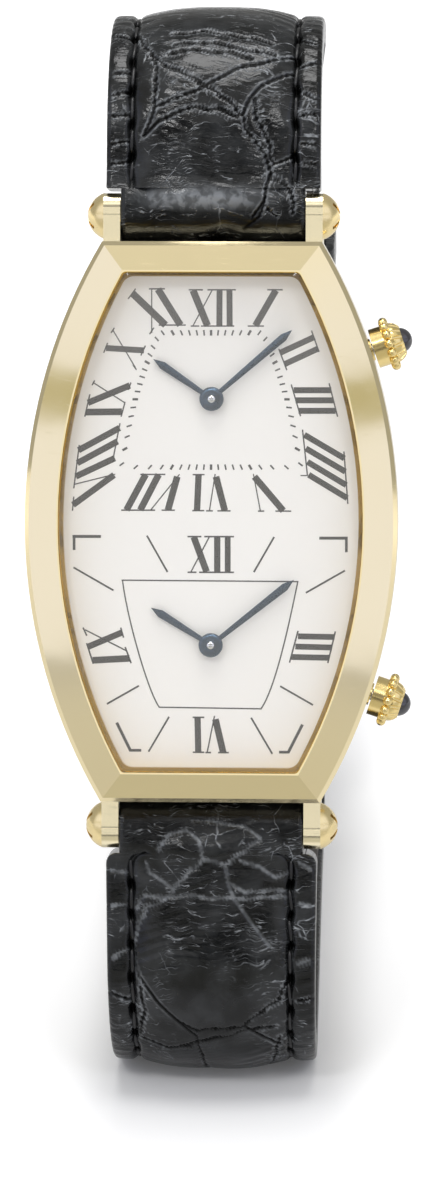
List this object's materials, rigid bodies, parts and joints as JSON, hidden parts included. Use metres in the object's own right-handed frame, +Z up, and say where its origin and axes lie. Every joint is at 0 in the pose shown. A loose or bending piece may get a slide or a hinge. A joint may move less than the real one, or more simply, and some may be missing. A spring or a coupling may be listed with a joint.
{
  "type": "dual-time wristwatch",
  "caption": "Barrel-shaped gold wristwatch with two small dials one above the other, a crown for each, and an unbuckled padded leather strap on which it stands.",
  "frame": {"origin": "middle of the footprint, on the table that the strap stands on", "axes": "+Z up, the dial faces -Y and leans back 18 degrees, +X towards the crowns"},
  "size_m": [0.0272, 0.0696, 0.0734],
  "materials": {
    "gold": "polished yellow gold",
    "glass": "clear sapphire glass",
    "dial": "silvered off-white print",
    "holder": "moulded ring",
    "gasket": "amber seal",
    "steel": "fine brushed",
    "plate": "rhodium-plated brass",
    "wheel": "gilt",
    "blued": "blued and polished",
    "stone": "domed dark blue stone",
    "leather": "glossy black scaled hide",
    "lining": "smooth calf"
  },
  "bodies": {
    "head": {"case_band": "gold", "bezel": "gold", "crystal": "glass", "dial": "dial", "movement_holder": "holder", "case_back": "gold", "case_gaskets": "gasket", "back_screws": "steel", "strap_bars": "gold", "lug_screws": "gold", "crown_tubes": "gold", "upper_mainplate": "plate", "upper_train_bridge": "plate", "upper_balance_cock": "plate", "lower_mainplate": "plate", "lower_train_bridge": "plate", "lower_balance_cock": "plate"},
    "upper_strap": {"upper_strap": "leather", "upper_lining": "lining", "fixed_keeper": "leather", "buckle_bar": "steel"},
    "lower_strap": {"lower_strap": "leather", "lower_lining": "lining"},
    "free_keeper": {"free_keeper": "leather"},
    "buckle_frame": {"buckle_frame": "gold"},
    "buckle_tongue": {"buckle_tongue": "gold"},
    "upper_stem": {"upper_stem": "steel"},
    "upper_crown": {"upper_crown": "gold", "upper_cabochon": "stone"},
    "upper_minute_hand": {"upper_minute_hand": "blued"},
    "upper_hour_hand": {"upper_hour_hand": "blued", "upper_hour_wheel": "wheel"},
    "upper_minute_wheel": {"upper_minute_wheel": "wheel"},
    "upper_barrel": {"upper_barrel": "wheel"},
    "upper_ratchet_wheel": {"upper_ratchet_wheel": "steel"},
    "upper_crown_wheel": {"upper_crown_wheel": "steel"},
    "upper_center_wheel": {"upper_center_wheel": "wheel"},
    "upper_third_wheel": {"upper_third_wheel": "wheel"},
    "upper_fourth_wheel": {"upper_fourth_wheel": "wheel"},
    "upper_escape_wheel": {"upper_escape_wheel": "steel"},
    "upper_pallet_fork": {"upper_pallet_fork": "steel"},
    "upper_balance": {"upper_balance_wheel": "wheel", "upper_hairspring": "blued"},
    "lower_stem": {"lower_stem": "steel"},
    "lower_crown": {"lower_crown": "gold", "lower_cabochon": "stone"},
    "lower_minute_hand": {"lower_minute_hand": "blued"},
    "lower_hour_hand": {"lower_hour_hand": "blued", "lower_hour_wheel": "wheel"},
    "lower_minute_wheel": {"lower_minute_wheel": "wheel"},
    "lower_barrel": {"lower_barrel": "wheel"},
    "lower_ratchet_wheel": {"lower_ratchet_wheel": "steel"},
    "lower_crown_wheel": {"lower_crown_wheel": "steel"},
    "lower_center_wheel": {"lower_center_wheel": "wheel"},
    "lower_third_wheel": {"lower_third_wheel": "wheel"},
    "lower_fourth_wheel": {"lower_fourth_wheel": "wheel"},
    "lower_escape_wheel": {"lower_escape_wheel": "steel"},
    "lower_pallet_fork": {"lower_pallet_fork": "steel"},
    "lower_balance": {"lower_balance_wheel": "wheel", "lower_hairspring": "blued"}
  },
  "joints": [
    {"name": "upper_strap_hinge", "type": "hinge", "parent": "head", "child": "upper_strap", "pos_m": [-0.00047, -0.01696, 0.06117], "axis": [1, 0, 0], "range_deg": [-12, 60]},
    {"name": "lower_strap_hinge", "type": "hinge", "parent": "head", "child": "lower_strap", "pos_m": [-0.00047, -0.03034, 0.01998], "axis": [1, 0, 0], "range_deg": [-40, 12]},
    {"name": "buckle_frame_hinge", "type": "hinge", "parent": "upper_strap", "child": "buckle_frame", "pos_m": [-0.00047, 0.01712, 0.03356], "axis": [1, 0, 0], "range_deg": [-35, 35]},
    {"name": "buckle_tongue_hinge", "type": "hinge", "parent": "buckle_frame", "child": "buckle_tongue", "pos_m": [-0.00047, 0.01712, 0.03356], "axis": [1, 0, 0], "range_deg": [0, 65]},
    {"name": "free_keeper_slide", "type": "slide", "parent": "upper_strap", "child": "free_keeper", "axis": [0, 0.1564, -0.9877], "range_m": [-0.0045, 0.0035]},
    {"name": "upper_stem_pull", "type": "slide", "parent": "head", "child": "upper_stem", "axis": [0.9493, 0.0971, 0.299], "range_m": [0, 0.001]},
    {"name": "upper_crown_turn", "type": "hinge", "parent": "upper_stem", "child": "upper_crown", "pos_m": [0.01073, -0.01992, 0.0522], "axis": [0.9493, 0.0971, 0.299], "continuous": true},
    {"name": "upper_crown_wheel_turn", "type": "hinge", "parent": "head", "child": "upper_crown_wheel", "pos_m": [0.00373, -0.0225, 0.05122], "axis": [0, -0.9511, 0.309], "continuous": true},
    {"name": "upper_ratchet_wheel_turn", "type": "hinge", "parent": "head", "child": "upper_ratchet_wheel", "pos_m": [-0.00067, -0.02197, 0.05285], "axis": [0, -0.9511, 0.309], "continuous": true},
    {"name": "upper_minute_hand_turn", "type": "hinge", "parent": "head", "child": "upper_minute_hand", "pos_m": [-0.00047, -0.02305, 0.04953], "axis": [0, -0.9511, 0.309], "continuous": true},
    {"name": "upper_minute_wheel_turn", "type": "hinge", "parent": "head", "child": "upper_minute_wheel", "pos_m": [-0.00223, -0.02323, 0.04898], "axis": [0, -0.9511, 0.309], "continuous": true},
    {"name": "upper_hour_hand_turn", "type": "hinge", "parent": "head", "child": "upper_hour_hand", "pos_m": [-0.00047, -0.02305, 0.04953], "axis": [0, -0.9511, 0.309], "continuous": true},
    {"name": "upper_fourth_wheel_turn", "type": "hinge", "parent": "head", "child": "upper_fourth_wheel", "pos_m": [-0.00191, -0.0245, 0.04508], "axis": [0, -0.9511, 0.309], "continuous": true},
    {"name": "upper_third_wheel_turn", "type": "hinge", "parent": "head", "child": "upper_third_wheel", "pos_m": [-0.00225, -0.02379, 0.04726], "axis": [0, -0.9511, 0.309], "continuous": true},
    {"name": "upper_center_wheel_turn", "type": "hinge", "parent": "head", "child": "upper_center_wheel", "pos_m": [-0.00047, -0.02305, 0.04953], "axis": [0, -0.9511, 0.309], "continuous": true},
    {"name": "upper_barrel_turn", "type": "hinge", "parent": "head", "child": "upper_barrel", "pos_m": [-0.00067, -0.02197, 0.05285], "axis": [0, -0.9511, 0.309], "continuous": true},
    {"name": "upper_escape_wheel_turn", "type": "hinge", "parent": "head", "child": "upper_escape_wheel", "pos_m": [-0.00015, -0.02437, 0.04548], "axis": [0, -0.9511, 0.309], "continuous": true},
    {"name": "upper_pallet_fork_swing", "type": "hinge", "parent": "head", "child": "upper_pallet_fork", "pos_m": [0.00131, -0.02413, 0.04621], "axis": [0, -0.9511, 0.309], "range_deg": [-8, 8]},
    {"name": "upper_balance_swing", "type": "hinge", "parent": "head", "child": "upper_balance", "pos_m": [0.00365, -0.02375, 0.04738], "axis": [0, -0.9511, 0.309], "range_deg": [-140, 140], "stiffness_Nm_per_rad": 0.00000001},
    {"name": "lower_stem_pull", "type": "slide", "parent": "head", "child": "lower_stem", "axis": [0.9493, -0.0971, -0.299], "range_m": [0, 0.001]},
    {"name": "lower_crown_turn", "type": "hinge", "parent": "lower_stem", "child": "lower_crown", "pos_m": [0.01073, -0.02747, 0.02898], "axis": [0.9493, -0.0971, -0.299], "continuous": true},
    {"name": "lower_crown_wheel_turn", "type": "hinge", "parent": "head", "child": "lower_crown_wheel", "pos_m": [0.00396, -0.02876, 0.03195], "axis": [0, -0.9511, 0.309], "continuous": true},
    {"name": "lower_ratchet_wheel_turn", "type": "hinge", "parent": "head", "child": "lower_ratchet_wheel", "pos_m": [0.00145, -0.02752, 0.03576], "axis": [0, -0.9511, 0.309], "continuous": true},
    {"name": "lower_minute_hand_turn", "type": "hinge", "parent": "head", "child": "lower_minute_hand", "pos_m": [-0.00047, -0.02843, 0.03298], "axis": [0, -0.9511, 0.309], "continuous": true},
    {"name": "lower_minute_wheel_turn", "type": "hinge", "parent": "head", "child": "lower_minute_wheel", "pos_m": [-0.00223, -0.02825, 0.03353], "axis": [0, -0.9511, 0.309], "continuous": true},
    {"name": "lower_hour_hand_turn", "type": "hinge", "parent": "head", "child": "lower_hour_hand", "pos_m": [-0.00047, -0.02843, 0.03298], "axis": [0, -0.9511, 0.309], "continuous": true},
    {"name": "lower_fourth_wheel_turn", "type": "hinge", "parent": "head", "child": "lower_fourth_wheel", "pos_m": [-0.00442, -0.02932, 0.03023], "axis": [0, -0.9511, 0.309], "continuous": true},
    {"name": "lower_third_wheel_turn", "type": "hinge", "parent": "head", "child": "lower_third_wheel", "pos_m": [-0.00332, -0.02869, 0.03217], "axis": [0, -0.9511, 0.309], "continuous": true},
    {"name": "lower_center_wheel_turn", "type": "hinge", "parent": "head", "child": "lower_center_wheel", "pos_m": [-0.00047, -0.02843, 0.03298], "axis": [0, -0.9511, 0.309], "continuous": true},
    {"name": "lower_barrel_turn", "type": "hinge", "parent": "head", "child": "lower_barrel", "pos_m": [0.00145, -0.02752, 0.03576], "axis": [0, -0.9511, 0.309], "continuous": true},
    {"name": "lower_escape_wheel_turn", "type": "hinge", "parent": "head", "child": "lower_escape_wheel", "pos_m": [-0.00276, -0.02954, 0.02955], "axis": [0, -0.9511, 0.309], "continuous": true},
    {"name": "lower_pallet_fork_swing", "type": "hinge", "parent": "head", "child": "lower_pallet_fork", "pos_m": [-0.00113, -0.02962, 0.02931], "axis": [0, -0.9511, 0.309], "range_deg": [-8, 8]},
    {"name": "lower_balance_swing", "type": "hinge", "parent": "head", "child": "lower_balance", "pos_m": [0.00149, -0.02975, 0.02892], "axis": [0, -0.9511, 0.309], "range_deg": [-140, 140], "stiffness_Nm_per_rad": 0.00000001}
  ],
  "couplings": [
    {"joint": "upper_crown_wheel_turn", "follows": "upper_crown_turn", "ratio": 0.5},
    {"joint": "upper_ratchet_wheel_turn", "follows": "upper_crown_turn", "ratio": -0.33333},
    {"joint": "upper_minute_wheel_turn", "follows": "upper_minute_hand_turn", "ratio": -0.33333},
    {"joint": "upper_hour_hand_turn", "follows": "upper_minute_hand_turn", "ratio": 0.083333},
    {"joint": "upper_third_wheel_turn", "follows": "upper_fourth_wheel_turn", "ratio": -0.13333},
    {"joint": "upper_center_wheel_turn", "follows": "upper_fourth_wheel_turn", "ratio": 0.016667},
    {"joint": "upper_barrel_turn", "follows": "upper_fourth_wheel_turn", "ratio": -0.0025},
    {"joint": "upper_escape_wheel_turn", "follows": "upper_fourth_wheel_turn", "ratio": -10},
    {"joint": "lower_crown_wheel_turn", "follows": "lower_crown_turn", "ratio": 0.5},
    {"joint": "lower_ratchet_wheel_turn", "follows": "lower_crown_turn", "ratio": -0.33333},
    {"joint": "lower_minute_wheel_turn", "follows": "lower_minute_hand_turn", "ratio": -0.33333},
    {"joint": "lower_hour_hand_turn", "follows": "lower_minute_hand_turn", "ratio": 0.083333},
    {"joint": "lower_third_wheel_turn", "follows": "lower_fourth_wheel_turn", "ratio": -0.13333},
    {"joint": "lower_center_wheel_turn", "follows": "lower_fourth_wheel_turn", "ratio": 0.016667},
    {"joint": "lower_barrel_turn", "follows": "lower_fourth_wheel_turn", "ratio": -0.0025},
    {"joint": "lower_escape_wheel_turn", "follows": "lower_fourth_wheel_turn", "ratio": -10}
  ]
}
